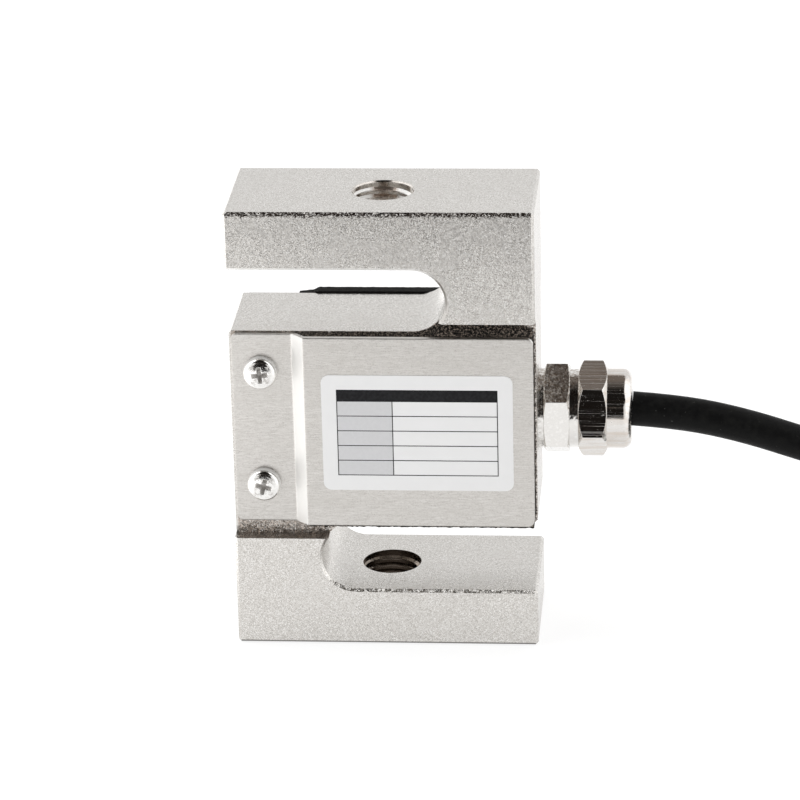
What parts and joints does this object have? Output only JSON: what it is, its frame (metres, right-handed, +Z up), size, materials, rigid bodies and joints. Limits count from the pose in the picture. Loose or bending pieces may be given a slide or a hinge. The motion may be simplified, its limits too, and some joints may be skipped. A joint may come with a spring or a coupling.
{
  "type": "s type load cell",
  "caption": "S-shaped tension and compression load cell with threaded ends, screwed sheet covers, a side cable gland and a coiled cable.",
  "frame": {"origin": "centre of the lower tapped hole's mouth, in the base face", "axes": "+Z up the loading axis to the upper tapped hole, +X towards the cable gland, the labelled cover faces -Y"},
  "size_m": [0.185, 0.0887, 0.077],
  "materials": {
    "nickel_plated_steel": "satin nickel plate over a bead-blasted surface",
    "cover_sheet": "brushed stainless sheet",
    "screw_nickel": "bright nickel plate",
    "label_film": "satin polyester film",
    "potting_compound": "dull black silicone",
    "gauge_film": "polyimide film",
    "board_laminate": "glass laminate",
    "gland_nickel": "polished nickel plate over brass",
    "seal_rubber": "dull black rubber",
    "cable_jacket": "black flexible jacket with a faint sheen",
    "tie_nylon": "natural nylon",
    "sleeve_shrink": "shrunk polyolefin",
    "wire_red": "smooth insulation",
    "wire_black": "smooth insulation",
    "wire_green": "smooth insulation",
    "wire_white": "smooth insulation",
    "shield_braid": "twisted tinned copper braid"
  },
  "bodies": {
    "root": {"spring_element": "nickel_plated_steel", "front_cover": "cover_sheet", "rear_cover": "cover_sheet", "front_cover_screws": "screw_nickel", "rear_cover_screws": "screw_nickel", "rating_label": "label_film", "front_potting": "potting_compound", "rear_potting": "potting_compound", "front_strain_gauge": "gauge_film", "rear_strain_gauge": "gauge_film", "front_terminal_board": "board_laminate", "rear_terminal_board": "board_laminate", "front_bridge_wires": "wire_red", "rear_bridge_wires": "wire_red", "gland_washer": "gland_nickel", "gland_body": "gland_nickel", "gland_seal": "seal_rubber", "gland_clamp_ring": "gland_nickel", "gland_cap": "gland_nickel", "inner_cable": "cable_jacket", "free_cable": "cable_jacket", "cable_coil": "cable_jacket", "cable_tail": "cable_jacket", "far_coil_tie": "tie_nylon", "near_coil_tie": "tie_nylon", "end_sleeve": "sleeve_shrink", "lead_red": "wire_red", "lead_black": "wire_black", "lead_green": "wire_green", "lead_white": "wire_white", "shield_lead": "shield_braid"}
  },
  "joints": []
}
